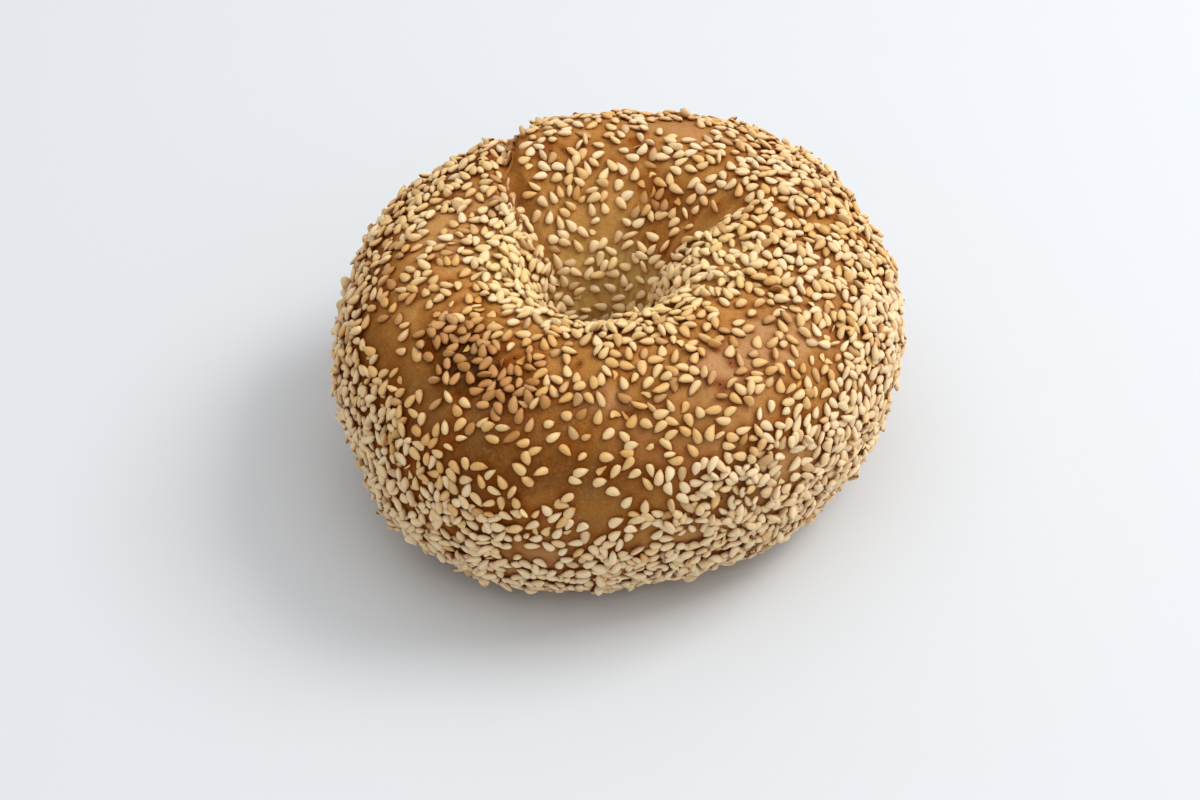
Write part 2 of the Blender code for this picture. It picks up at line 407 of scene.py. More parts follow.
class Skin:
    """The crust's surface as a fine closed grid of points in mm, with what is needed to set seeds on it."""

    def __init__(self, chance):
        coat, self.ring, self.section, joins = coat_surface(CRUST_RING_STEPS, CRUST_SECTION_STEPS)
        self.from_seam, self.from_crease = joins
        relief = np.zeros(coat.shape[:-1])
        for wavelength, height in SKIN_RELIEF:
            relief = relief + height * ripple(coat, wavelength, chance)
        self.points = coat + grid_normals(coat) * (relief - COAT)[..., None]
        self.normals = grid_normals(self.points)
        self.along = np.roll(self.points, -1, axis=0) - np.roll(self.points, 1, axis=0)
        side = np.roll(self.points, -1, axis=0) - self.points
        rise = np.roll(self.points, -1, axis=1) - self.points
        self.area = np.linalg.norm(np.cross(side, rise), axis=-1)

    def random_places(self, chance, per_area):
        """Fractional grid indices of evenly scattered random places, per_area of them for each mm^2."""
        area = self.area.ravel()
        count = int(area.sum() * per_area)
        cell = chance.choice(area.size, size=count, p=area / area.sum())
        i, j = np.divmod(cell, CRUST_SECTION_STEPS)
        return i + chance.random(count), j + chance.random(count)

    def read(self, grid, i, j):
        """A grid's values at fractional indices, blended between the four nearest grid points."""
        i0, j0 = np.floor(i).astype(int), np.floor(j).astype(int)
        s, t = i - i0, j - j0
        i1, j1 = (i0 + 1) % grid.shape[0], (j0 + 1) % grid.shape[1]
        i0, j0 = i0 % grid.shape[0], j0 % grid.shape[1]
        if grid.ndim == 3:
            s, t = s[:, None], t[:, None]
        near = grid[i0, j0] * (1.0 - s) + grid[i1, j0] * s
        far = grid[i0, j1] * (1.0 - s) + grid[i1, j1] * s
        return near * (1.0 - t) + far * t

    @staticmethod
    def angles(i, j):
        """Ring and section angle at fractional indices."""
        return i / CRUST_RING_STEPS * 2.0 * np.pi, j / CRUST_SECTION_STEPS * 2.0 * np.pi

    def frames(self, i, j):
        """Point, and unit ring direction, cross direction and normal at fractional indices."""
        point = self.read(self.points, i, j)
        normal = unit(self.read(self.normals, i, j))
        along = self.read(self.along, i, j)
        along = unit(along - normal * dot(along, normal)[:, None])
        return point, along, np.cross(normal, along), normal


def crowding(skin, i, j):
    """Seeds for each mm^2 round every grid point: their count over the cell's area, after both have spread
    to the cells beside them CROWDING_SPREADS times, half staying and a quarter going each way."""
    area = skin.area
    count = np.zeros_like(area)
    np.add.at(count, (np.round(i).astype(int) % area.shape[0], np.round(j).astype(int) % area.shape[1]), 1.0)
    for _ in range(CROWDING_SPREADS):
        for axis in (0, 1):
            count = 0.25 * (np.roll(count, 1, axis) + np.roll(count, -1, axis)) + 0.5 * count
            area = 0.25 * (np.roll(area, 1, axis) + np.roll(area, -1, axis)) + 0.5 * area
    return count / area


def unit(vectors):
    """Each vector divided by its length."""
    return vectors / np.linalg.norm(vectors, axis=-1, keepdims=True)


def dot(first, second):
    """Sum of the products of the last axis's parts."""
    return np.sum(first * second, axis=-1)


def add_object(name, data):
    """A new object in the scene that shows the given data."""
    made = bpy.data.objects.new(name, data)
    bpy.context.scene.collection.objects.link(made)
    return made


def make_mesh(name, points, faces, attributes):
    """A smooth-shaded mesh object from an array of points in mm and arrays of faces, with one float
    attribute for each named array of point values."""
    mesh = bpy.data.meshes.new(name)
    mesh.from_pydata((points * MM).tolist(), [], faces)
    for key, values in attributes.items():
        attribute = mesh.attributes.new(key, "FLOAT", "POINT")
        attribute.data.foreach_set("value", np.ascontiguousarray(values, dtype=np.float32))
    mesh.shade_smooth()
    return add_object(name, mesh)


def closed_grid_faces(rows, columns):
    """One quad for each cell of a grid that closes on itself both ways, facing outward."""
    i, j = np.meshgrid(np.arange(rows), np.arange(columns), indexing="ij")
    i1, j1 = (i + 1) % rows, (j + 1) % columns
    corners = [i * columns + j, i1 * columns + j, i1 * columns + j1, i * columns + j1]
    return np.stack(corners, axis=-1).reshape(-1, 4)


# ======== seeds

def signed_power(value, power):
    """The size of a value raised to a power, with the value's own sign."""
    return np.sign(value) * np.abs(value) ** power


def seed_template():
    """A closed teardrop of unit length, width and thickness, its tip at x = -0.5.

    At share t of the length, the half width and the half thickness each follow t^a (1 - t)^b with their
    own powers, scaled to reach one half.  Rings of points run round the superellipse of those two at
    signed powers of the cosine and sine, closed by a point at each end.  Returns points, faces, the share
    t, and each point's share of browned rim and painted shade: 0 on top, part on the sides and 1 underneath.
    """
    share = np.array(SEED_RINGS)
    turn = 2.0 * np.pi * np.arange(SEED_SIDES) / SEED_SIDES

    def profile(tip_power, end_power):
        """Half size at each share of the length: t^a (1 - t)^b over its own greatest value, halved."""
        peak = tip_power / (tip_power + end_power)
        return 0.5 * (share / peak) ** tip_power * ((1.0 - share) / (1.0 - peak)) ** end_power

    x = np.repeat(share - 0.5, SEED_SIDES)
    y = np.outer(profile(*OUTLINE_POWERS), signed_power(np.cos(turn), SECTION_POWER)).ravel()
    z = np.outer(profile(*THICKNESS_POWERS), signed_power(np.sin(turn), SECTION_POWER)).ravel()
    rings = np.stack([x, y, z], axis=-1)
    points = np.vstack([rings, [[-0.5, 0.0, 0.0], [0.5, 0.0, 0.0]]])
    tip, end = len(rings), len(rings) + 1
    last = (len(share) - 1) * SEED_SIDES
    faces = []
    for k in range(SEED_SIDES):
        n = (k + 1) % SEED_SIDES
        faces.append((tip, n, k))
        faces.append((end, last + k, last + n))
        for row in range(0, last, SEED_SIDES):
            faces.append((row + k, row + n, row + SEED_SIDES + n, row + SEED_SIDES + k))
    along = np.append(np.repeat(share, SEED_SIDES), [0.0, 1.0])
    rim_and_shade = np.interp(np.sin(turn), *RIM_AND_SHADE_BY_HEIGHT)
    rim_and_shade = np.append(np.tile(rim_and_shade, len(share)), RIM_AND_SHADE_AT_ENDS)
    return points, faces, along, rim_and_shade


class Seeds:
    """Where every seed lies, its size and its kind: arrays with one row for each seed.

    Of the seeds that arrive, those stay that stick by chance, more surely where the coat is thick, and
    find room among the ones before them.
    """

    def __init__(self, skin, chance):
        i, j = skin.random_places(chance, SEED_ARRIVALS)
        ring, section = skin.angles(i, j)
        point, along, cross, normal = skin.frames(i, j)
        from_seam, from_crease = skin.read(skin.from_seam, i, j), skin.read(skin.from_crease, i, j)
        cover = BASE_COVER + patches(ring, section, COVER_PATCHES)
        cover = cover + join_change(from_seam, from_crease, section, COVER_BY_JOIN)
        wavelength, height = COVER_NOISE
        cover = np.clip(cover + height * ripple(point, wavelength, chance), 0.0, MOST_COVER)
        turn = chance.uniform(0.0, 2.0 * np.pi, len(i))
        heading = along * np.cos(turn)[:, None] + cross * np.sin(turn)[:, None]
        sticks = chance.random(len(i)) < np.interp(cover, *STICK_BY_COVER)
        kept = self.settle(point, heading, np.interp(cover, *ROOM_BY_COVER), np.flatnonzero(sticks))
        self.point, self.heading, self.normal = point[kept], heading[kept], normal[kept]
        self.side = np.cross(self.normal, self.heading)
        self.ring, self.section = ring[kept], section[kept]
        self.crowding = crowding(skin, i[kept], j[kept])
        self.count = len(kept)
        self.height = self.point[:, 2]
        start, full, fading, over = np.radians(DEEP_SECTION)
        self.deep = smooth_step(self.section, start, full)
        self.deep = self.deep * (1.0 - smooth_step(self.section, fading, over))
        self.deep = self.deep * (1.0 - smooth_step(self.height, *DEEP_HEIGHT))
        self.butter = np.clip(patches(self.ring, self.section, BUTTER_PATCHES), 0.0, 1.0)
        self.length = chance.normal(*SEED_LENGTH, self.count)
        self.width = chance.normal(*SEED_WIDTH, self.count)
        self.thickness = chance.normal(*SEED_THICKNESS, self.count)
        luck = chance.random(self.count)
        self.scale_some(luck < SMALL_SHARE, chance, SMALL_SCALE)
        drift = patches(self.ring, self.section, HUSK_PATCHES)
        self.is_husk = (luck > HUSK_START - drift) & (luck < HUSK_START + HUSK_SHARE)
        self.scale_some(self.is_husk, chance, HUSK_SCALE)
        sunk = (luck > SUNK_START) & (luck < SUNK_START + SUNK_SHARE)
        self.sink = np.where(sunk, chance.uniform(*SUNK_DEPTH, self.count), SEED_SINK)
        self.glaze = np.where(sunk, chance.uniform(*SUNK_GLAZE, self.count), 0.0)
        self.is_speck = luck > 1.0 - SPECK_SHARE
        self.scale_some(self.is_speck, chance, SPECK_SCALE)
        self.lean(chance)

    def scale_some(self, which, chance, limits):
        """Scale the three sizes of the chosen rows by even random shares between each size's limits."""
        for part, (least, most) in zip(("length", "width", "thickness"), limits):
            size = getattr(self, part)
            setattr(self, part, np.where(which, size * chance.uniform(least, most, self.count), size))

    @staticmethod
    def settle(point, heading, room, order):
        """Take seeds in order and keep each one whose two lobes find their room among those kept."""
        lobes = np.stack([point - SEED_LOBE_OFFSET * heading, point + SEED_LOBE_OFFSET * heading], axis=1)
        cells = np.floor(point / SETTLE_CELL).astype(int).tolist()
        beside = [(x, y, z) for x in (-1, 0, 1) for y in (-1, 0, 1) for z in (-1, 0, 1)]
        held = {}
        kept = []
        for k in order:
            x, y, z = cells[k]
            near = held.get((x, y, z))
            if near:
                away = lobes[k][None, :, None] - lobes[near][:, None]
                if np.any((away * away).sum(-1) < ((room[k] + room[near]) ** 2)[:, None, None]):
                    continue
            kept.append(k)
            for dx, dy, dz in beside:
                held.setdefault((x + dx, y + dy, z + dz), []).append(k)
        return np.array(kept)

    def lean(self, chance):
        """Rest each seed on the crust and on the seeds that came before it.

        The height of earlier seeds, each taken as a low dome over its outline, is read under the tip,
        the end and both sides of the seed; the seed then pitches and rolls to lie on them.
        """
        self.lift = np.zeros(self.count)
        self.pitch = chance.normal(0.0, PITCH_SPREAD, self.count)
        self.roll = chance.normal(0.0, ROLL_SPREAD, self.count)
        luck = chance.random(self.count)
        standing = luck < STANDING_SHARE
        self.rim_and_shade_share = np.where(standing, STANDING_RIM_AND_SHADE, 1.0)
        tilted = (luck > 1.0 - TILTED_SHARE) | self.is_husk
        edge = chance.choice([-1.0, 1.0], self.count)
        self.roll = np.where(standing, edge * STANDING_ROLL + self.roll, self.roll)
        self.pitch = np.where(tilted, chance.uniform(-TILTED_PITCH, TILTED_PITCH, self.count), self.pitch)
        reach = REST_REACH * np.array([[-1.0, 0.0], [1.0, 0.0], [0.0, -1.0], [0.0, 1.0], [0.0, 0.0]])
        for k in range(1, self.count):
            away = self.point[k] - self.point[:k]
            near = np.flatnonzero(dot(away, away) < REST_DISTANCE ** 2)
            if not len(near):
                continue
            steps = reach * [self.length[k], self.width[k]]
            under = away[near][:, None] + steps[:, :1] * self.heading[k] + steps[:, 1:] * self.side[k]
            x = (under * self.heading[near][:, None]).sum(-1)
            y = (under * self.side[near][:, None]).sum(-1)
            inside = 1.0 - (x / (0.5 * self.length[near][:, None])) ** 2
            inside = inside - (y / (0.5 * self.width[near][:, None])) ** 2
            top = self.lift[near][:, None] + np.sin(self.pitch[near])[:, None] * x
            top = top + self.thickness[near][:, None] * np.sqrt(np.clip(inside, 0.0, 1.0))
            height = np.where(inside > 0.0, top, 0.0).max(axis=0)
            tip, end, left, right, middle = np.minimum(height, REST_HEIGHT)
            self.pitch[k] += np.arctan2(end - tip, 2.0 * REST_REACH * self.length[k])
            self.roll[k] += np.arctan2(right - left, 2.0 * REST_REACH * self.width[k]) * REST_ROLL
            highest = max(0.5 * (tip + end), 0.5 * (left + right), REST_MIDDLE * middle)
            self.lift[k] = highest * REST_LIFT
        self.lift = self.lift + TILTED_LIFT * self.length * np.abs(np.sin(self.pitch)) * tilted
        self.lift = self.lift + STANDING_LIFT * self.width * np.abs(np.sin(self.roll)) * standing

    def matrices(self):
        """For each seed the rotation whose columns are its length, width and thickness directions."""
        pitch_cos, pitch_sin = np.cos(self.pitch)[:, None], np.sin(self.pitch)[:, None]
        length = self.heading * pitch_cos + self.normal * pitch_sin
        up = self.normal * pitch_cos - self.heading * pitch_sin
        roll_cos, roll_sin = np.cos(self.roll)[:, None], np.sin(self.roll)[:, None]
        width = self.side * roll_cos + up * roll_sin
        return np.stack([length, width, up * roll_cos - self.side * roll_sin], axis=-1)


def seed_piece(name, seeds, chosen, chance, ragged, curl):
    """One mesh of all the chosen seeds: the teardrop, scaled, bent, turned and set down for each.

    The outline is swollen by cosines of two and three times the angle round the middle, of height
    ragged.  The whole shape is bent upward by random parts of the squares and the product of x and y, and
    sideways by one of the square of x, all with the spread curl.
    """
    shape, faces, along, rim_and_shade = seed_template()
    count = len(chosen)
    turn = np.arctan2(shape[:, 1], shape[:, 0])
    swell = np.ones((count, len(shape)))
    for order in (2, 3):
        phase = chance.uniform(0.0, 2.0 * np.pi, (count, 1))
        swell = swell + ragged * np.cos(order * turn + phase)
    size = np.stack([seeds.length[chosen], seeds.width[chosen], seeds.thickness[chosen]], axis=-1)
    local = shape[None] * size[:, None]
    local[..., :2] *= swell[..., None]
    bend = chance.normal(0.0, curl, (4, count, 1))
    x, y = local[..., 0], local[..., 1]
    local[..., 2] = local[..., 2] + bend[0] * x * x + bend[1] * y * y + bend[2] * x * y
    local[..., 1] = y + bend[3] * x * x
    centre = seeds.point[chosen]
    rise = seeds.lift[chosen] + 0.5 * seeds.thickness[chosen] - seeds.sink[chosen]
    centre = centre + seeds.normal[chosen] * rise[:, None]
    points = centre[:, None] + np.einsum("nij,nvj->nvi", seeds.matrices()[chosen], local)
    points[..., 2] = np.maximum(points[..., 2], 0.0)
    starts = (np.arange(count) * len(shape))[:, None]
    face_list = [row for face in faces for row in (starts + np.array(face)).tolist()]
    attributes = {
        "along": np.tile(along, count),
        "rim_and_shade": (seeds.rim_and_shade_share[chosen, None] * rim_and_shade).ravel(),
        "shade": np.repeat(chance.random(count), len(shape)),
    }
    for key in ("toast", "deep", "glaze", "butter"):
        attributes[key] = np.repeat(getattr(seeds, key)[chosen], len(shape))
    return make_mesh(name, points.reshape(-1, 3), face_list, attributes)


# ======== materials

def colour(code):
    """Linear colour from a six-digit sRGB code."""
    values = np.array([int(code[k:k + 2], 16) for k in (0, 2, 4)]) / 255.0
    linear = np.where(values <= 0.04045, values / 12.92, ((values + 0.055) / 1.055) ** 2.4)
    return (*linear.tolist(), 1.0)


class Value:
    """A shader socket that can be used in Python sums, products and differences."""

    def __init__(self, shader, socket):
        self.shader = shader
        self.socket = socket

    def __add__(self, other):
        return self.shader.maths("ADD", self, other)

    def __sub__(self, other):
        return self.shader.maths("SUBTRACT", self, other)

    def __rsub__(self, other):
        return self.shader.maths("SUBTRACT", other, self)

    def __mul__(self, other):
        return self.shader.maths("MULTIPLY", self, other)

    __radd__ = __add__
    __rmul__ = __mul__


class Shader:
    """A material under construction."""

    def __init__(self, name):
        self.material = bpy.data.materials.new(name)
        self.material.use_nodes = True
        self.tree = self.material.node_tree
        self.base = self.tree.nodes["Principled BSDF"]
        self.place = self.node("ShaderNodeTexCoord", {}, {}, "Object")

    def node(self, kind, settings, inputs, output):
        """Add a node, set its settings, then its input values or links, and return one output."""
        made = self.tree.nodes.new(kind)
        for key, value in settings.items():
            setattr(made, key, value)
        for key, value in inputs.items():
            self.feed(made.inputs[key], value)
        return Value(self, made.outputs[output])

    def feed(self, socket, value):
        """Link a shader value to a socket, or set the socket to a plain one."""
        if isinstance(value, Value):
            self.tree.links.new(value.socket, socket)
        else:
            socket.default_value = value

    def maths(self, operation, *values):
        """Result of one maths operation on shader values or numbers."""
        return self.node("ShaderNodeMath", {"operation": operation}, dict(enumerate(values)), "Value")

    def clamp(self, value):
        """The value, held between 0 and 1."""
        return self.node("ShaderNodeClamp", {}, {"Value": value}, "Result")

    def step(self, value, start, end):
        """0 before start, 1 past end, smooth between."""
        settings = {"interpolation_type": "SMOOTHSTEP"}
        inputs = {"Value": value, "From Min": start, "From Max": end}
        return self.node("ShaderNodeMapRange", settings, inputs, "Result")

    def mix(self, factor, first, second):
        """Colour blended from first to second."""
        settings = {"data_type": "RGBA"}
        return self.node("ShaderNodeMix", settings, {0: factor, 6: first, 7: second}, 2)

    def attributes(self, *names):
        """The mesh's own point values of the given names, in turn."""
        for name in names:
            yield self.node("ShaderNodeAttribute", {"attribute_name": name}, {}, "Fac")

    def layers(self, tone, *rows):
        """A first colour blended toward each row's colour in turn, by the row's share."""
        for share, over in rows:
            tone = self.mix(share, tone, over)
        return tone

    def noise(self, size_mm, detail, roughness, distortion=0.0):
        """Noise from 0 to 1 whose blobs are about size_mm wide."""
        inputs = {
            "Vector": self.place, "Scale": 1.0 / (size_mm * MM), "Detail": detail,
            "Roughness": roughness, "Distortion": distortion,
        }
        return self.node("ShaderNodeTexNoise", {}, inputs, "Fac")

    def bump(self, height, strength, distance_mm):
        """Normal from a height that is worth distance_mm."""
        inputs = {"Height": height, "Strength": strength, "Distance": distance_mm * MM}
        return self.node("ShaderNodeBump", {}, inputs, "Normal")

    def finish(self, **inputs):
        """Feed the Principled shader; underscores in names stand for spaces."""
        for key, value in inputs.items():
            self.feed(self.base.inputs[key.replace("_", " ")], value)
        return self.material


# Colours of the crust: by how far it has baked, with its blushed (partly painted sheen), pale and hardly
# baked parts, the marks in its skin, and the painted shade between crowded seeds.
LIGHT_CRUST = colour("CC9350")
GOLDEN_CRUST = colour("A86C2A")
BROWN_CRUST = colour("703E0A")
DARK_CRUST = colour("52280A")
BLUSH_AND_SHEEN = colour("CC9C74")
PALE_CRUST = colour("D8A45A")
WRINKLE = colour("C9904E")
BLISTER = colour("CE9450")
PORE = colour("63380C")
DARK_GRAIN = colour("7A4A1C")
LIGHT_GRAIN = colour("D8A468")
BROWN_GAP_SHADE = colour("823600")
DARK_GAP_SHADE = colour("4A1C00")
CRUMB = colour("D4AF68")
CRUMB_GAP_SHADE = colour("7A5418")
# Below this area in mm^2 for each seed, the gaps between seeds get the full painted shade.
CROWDED_AREA = 4.5
# Noise in the crust: size of its blobs in mm, detail, roughness and distortion.
WIDE_NOISE = (8.0, 4.0, 0.62, 0.3)
SMALL_NOISE = (1.9, 4.0, 0.65, 0.2)
WRINKLE_NOISE = (1.3, 3.0, 0.7, 0.5)
BLISTER_NOISE = (0.9, 1.0, 0.4)
PORE_NOISE = (0.45, 2.0, 0.6)
GRAIN_NOISE = (0.55, 3.0, 0.75, 1.2)

# Noise in the seeds' colour, in their skin, and in the specks.
FINE_NOISE = (0.55, 2.0, 0.6)
SKIN_NOISE = (0.16, 2.0, 0.6)
SPECK_NOISE = (0.2, 2.0, 0.6)
# Looks of each kind of seed: its colour when pale and when full, the darkest colour of its browned rim
# and painted shade, and roughness.
PALE_SEED = ("pale seed", "FAE3B8", "ECC993", "803E0A", 0.42)
CREAM_SEED = ("cream seed", "FCE3B6", "EFC886", "803904", 0.40)
GOLDEN_SEED = ("golden seed", "FBDDA4", "E6B46A", "783402", 0.38)
TOASTED_SEED = ("toasted seed", "EABE86", "C48E54", "4A2002", 0.38)
HUSK = ("husk", "F8DC9C", "DDA04C", "A86C28", 0.36)
# Colours that all seeds take on: buttery cream, the first browning of an edge that also serves as painted
# shade on the seeds' sides, shade deep in the hole, and glaze over the sunk ones.
BUTTER = colour("FBE2A0")
SEED_EDGE_AND_SHADE = colour("C67A30")
DEEP_SHADE = colour("9A8450")
GLAZE = colour("B07A3A")
SPECK_COLOURS = (colour("2A1A10"), colour("6A3A18"))
FLOOR_COLOUR = colour("DEE3E9")


def crust_material():
    """Boiled and baked crust with mottling, wrinkles, blisters, pores and grain, and a soft sheen.

    It runs from light to dark brown by how far each part has baked, with painted shade in the crease, with
    pale parts, partly a painted highlight on the right lip of the hole, and a pink blush that is partly
    painted sheen, turns to the colour of crumb deep in the hole, and has painted shade and no sheen between
    crowded seeds.
    """
    shader = Shader("browned crust")
    bake_and_crease_shade, pale, blush_and_sheen, crowd, crumb = shader.attributes("bake_and_crease_shade", "pale", "blush_and_sheen", "crowd", "crumb")
    crowd = shader.clamp(crowd * CROWDED_AREA)
    wide = shader.noise(*WIDE_NOISE)
    small = shader.noise(*SMALL_NOISE)
    wrinkle = shader.step(shader.noise(*WRINKLE_NOISE), 0.50, 0.72)
    blister = shader.step(shader.noise(*BLISTER_NOISE), 0.60, 0.74)
    pores = shader.step(shader.noise(*PORE_NOISE), 0.58, 0.74)
    grain = shader.noise(*GRAIN_NOISE)
    level = bake_and_crease_shade + (wide - 0.5) * 0.9 + (small - 0.5) * 0.55
    # Painted shade in the gaps between crowded seeds, darker where the crust is browner.
    gap_shade = shader.mix(shader.step(level, 0.85, 1.35), BROWN_GAP_SHADE, DARK_GAP_SHADE)
    browned = (1.0 - shader.clamp(crumb)) * (1.0 - shader.clamp(pale * 1.3))
    tone = shader.layers(
        LIGHT_CRUST,
        (shader.step(level, 0.0, 0.5), GOLDEN_CRUST),
        (shader.step(level, 0.42, 1.0), BROWN_CRUST),
        (shader.step(level, 1.0, 1.5), DARK_CRUST),
        # pink blush, partly painted sheen
        (shader.clamp(blush_and_sheen + (small - 0.5) * 0.5) * 0.6, BLUSH_AND_SHEEN),
        (shader.clamp(pale + (small - 0.5) * 0.35), PALE_CRUST),
        (wrinkle * 0.10, WRINKLE),
        (blister * 0.12, BLISTER),
        (pores * 0.35, PORE),
        (shader.step(grain, 0.50, 0.70) * 0.32, DARK_GRAIN),
        (shader.step(grain, 0.50, 0.30) * 0.24, LIGHT_GRAIN),
        (crowd * 0.75 * browned, gap_shade),
        (shader.clamp(crumb + (wide - 0.5) * 0.9 + (small - 0.5) * 0.4) * 0.85, CRUMB),
        # painted shade between crowded seeds in the crumb-coloured hole
        (crowd * shader.clamp(crumb) * 0.32, CRUMB_GAP_SHADE),
    )
    height = wide * 0.3 + small * 0.5 + wrinkle * 0.18 + blister * 0.22 - pores * 0.12 - grain * 0.5
    return shader.finish(
        Base_Color=tone, Roughness=0.46 + small * 0.2, Coat_Weight=(1.0 - crowd) * 0.12,
        Coat_Roughness=0.32, Normal=shader.bump(height, 0.75, 0.35), Specular_IOR_Level=0.02,
    )


def seed_material(name, pale, full, darkest_edge_and_shade, roughness):
    """Seed skin, finely mottled, with a soft waxy sheen.

    It runs from the pale to the full colour by each seed's own toast and shade, is buttery where the coat
    stays creamy, browner at the pointed tip, browned along the rim with painted shade on the sides and
    underneath, darker deep in the hole, and glazed brown where the seed is sunk.
    """
    shader = Shader(name)
    toast, shade, along, rim_and_shade = shader.attributes("toast", "shade", "along", "rim_and_shade")
    deep, butter, glaze = shader.attributes("deep", "butter", "glaze")
    fine = shader.noise(*FINE_NOISE)
    level = shader.clamp(toast + (shade - 0.5) * 0.95 + (fine - 0.5) * 0.5)
    # Browner pointed tip, and the browned rim with painted shade on the sides and underneath.
    edge = shader.step(1.0 - along, 0.70, 1.0) * 0.5 + rim_and_shade * 0.95
    edge = shader.clamp(edge * (0.72 + toast * 0.95))
    tone = shader.layers(
        colour(pale),
        (level, colour(full)),
        (butter * (0.35 + shade * 0.5), BUTTER),
        (edge, shader.mix(edge, SEED_EDGE_AND_SHADE, colour(darkest_edge_and_shade))),
        (deep * 0.26, DEEP_SHADE),
        (glaze * 0.75, GLAZE),
    )
    skin = shader.noise(*SKIN_NOISE)
    return shader.finish(
        Base_Color=tone, Roughness=roughness + (fine - 0.5) * 0.15,
        Normal=shader.bump(skin + fine, 0.35, 0.08), Specular_IOR_Level=0.27,
    )


def speck_material():
    """Dark burnt specks of seed and bran."""
    shader = Shader("burnt speck")
    tone = shader.mix(*shader.attributes("shade"), *SPECK_COLOURS)
    fine = shader.noise(*SPECK_NOISE)
    return shader.finish(Base_Color=tone, Roughness=0.55 + fine * 0.2, Normal=shader.bump(fine, 0.4, 0.05))


# ======== the bagel

# How brown the crust is, with painted shade in the crease: base value, patches in ring and section angle,
# and bands along the joins.
BASE_BAKE = 0.30
BAKE_PATCHES = (
    (222, 44, 58, 30, 0.36), (256, 22, 40, 26, 0.20), (198, 57, 18, 8, -0.30), (178, 76, 30, 24, -0.12),
    (292, 35, 30, 20, 0.08), (282, 48, 26, 14, -0.14), (328, 84, 16, 12, 0.14), (0, -20, 400, 30, 0.10),
    (68, 112, 14, 8, 0.35), (225, 68, 24, 14, 0.46), (224, 70, 12, 8, 0.40), (90, 88, 50, 14, -0.05),
    (322, -8, 34, 30, -0.25), (200, 66, 10, 10, -0.25), (166, 73, 10, 10, -0.22), (58, 124, 20, 14, 0.12),
    (0, 186, 400, 20, 0.40),
)
BAKE_AND_CREASE_SHADE_BY_JOIN = (
    ("seam", -0.5, 4.0, 1.2, 50.0, 120.0, 0.30),
    # painted shade in the fold of the crease
    ("crease", -0.5, 4.0, 1.2, 92.0, 150.0, 0.25),
)
# Where it is pale, at the right lip of the hole partly as a painted highlight; where it has stayed the
# colour of crumb; and where it has a pink blush that is partly painted sheen.
PALE_AND_HIGHLIGHT_PATCHES = (
    # the patch at ring 6 on the hole's right lip is partly a painted highlight
    (112, 124, 32, 15, 0.45), (200, 120, 48, 21, 0.64), (6, 124, 46, 22, 0.46), (308, 6, 34, 26, 0.20),
    (345, 60, 36, 34, 0.14), (164, 80, 14, 12, 0.25), (328, -18, 34, 26, 0.26),
)
CRUMB_PATCHES = (
    (100, 158, 80, 20, 0.9), (60, 154, 40, 14, 0.3), (150, 154, 40, 14, 0.3), (112, 130, 34, 12, 0.15),
)
BLUSH_AND_SHEEN_PATCHES = (
    (303, 77, 9, 12, 0.9), (322, 80, 12, 9, 0.9), (266, 67, 9, 7, 0.6), (178, 90, 12, 9, 0.5),
    (150, 95, 10, 8, 0.4), (332, 66, 9, 8, 0.5), (75, 72, 16, 12, 0.4), (345, 10, 12, 12, 0.4),
    (306, 70, 20, 18, 0.35), (290, 46, 24, 14, 0.25), (322, -8, 34, 30, 0.7), (270, -25, 60, 20, 0.6),
    (350, 40, 20, 16, 0.3), (338, 72, 30, 24, 0.35), (164, 80, 16, 16, 0.45),
)


def crust_piece(skin, crowd):
    """The crust: the skin's grid as one closed mesh, with how crowded with seeds, how baked (with painted
    shade in the crease), how crumb-like, how pale (partly a painted highlight) and how blushed (partly
    painted sheen) each point is."""
    by_join = join_change(skin.from_seam, skin.from_crease, skin.section, BAKE_AND_CREASE_SHADE_BY_JOIN)
    attributes = {
        "crowd": crowd,
        "bake_and_crease_shade": BASE_BAKE + patches(skin.ring, skin.section, BAKE_PATCHES) + by_join,
    }
    for key, rows in (("crumb", CRUMB_PATCHES), ("pale", PALE_AND_HIGHLIGHT_PATCHES), ("blush_and_sheen", BLUSH_AND_SHEEN_PATCHES)):
        attributes[key] = patches(skin.ring, skin.section, rows)
    attributes = {key: values.ravel() for key, values in attributes.items()}
    faces = closed_grid_faces(CRUST_RING_STEPS, CRUST_SECTION_STEPS).tolist()
    piece = make_mesh("crust", skin.points.reshape(-1, 3), faces, attributes)
    piece.data.materials.append(crust_material())
    return piece


def toast_of(seeds, chance):
    """How toasted each seed is: more toward the top, less in the hole, uneven from seed to seed."""
    toast = TOAST_GAIN * smooth_step(seeds.height, *TOAST_RISE) + TOAST_AT_FOOT
    section = np.degrees(seeds.section)
    toast = toast * (1.0 - TOAST_HOLE_LOSS * smooth_step(section, *TOAST_HOLE_SECTION))
    toast = toast + patches(seeds.ring, seeds.section, TOAST_PATCHES)
    wavelength, height = TOAST_NOISE
    toast = toast + height * ripple(seeds.point, wavelength, chance)
    toast = toast + chance.normal(0.0, TOAST_SPREAD, seeds.count)
    return np.clip(toast, 0.0, 1.0)


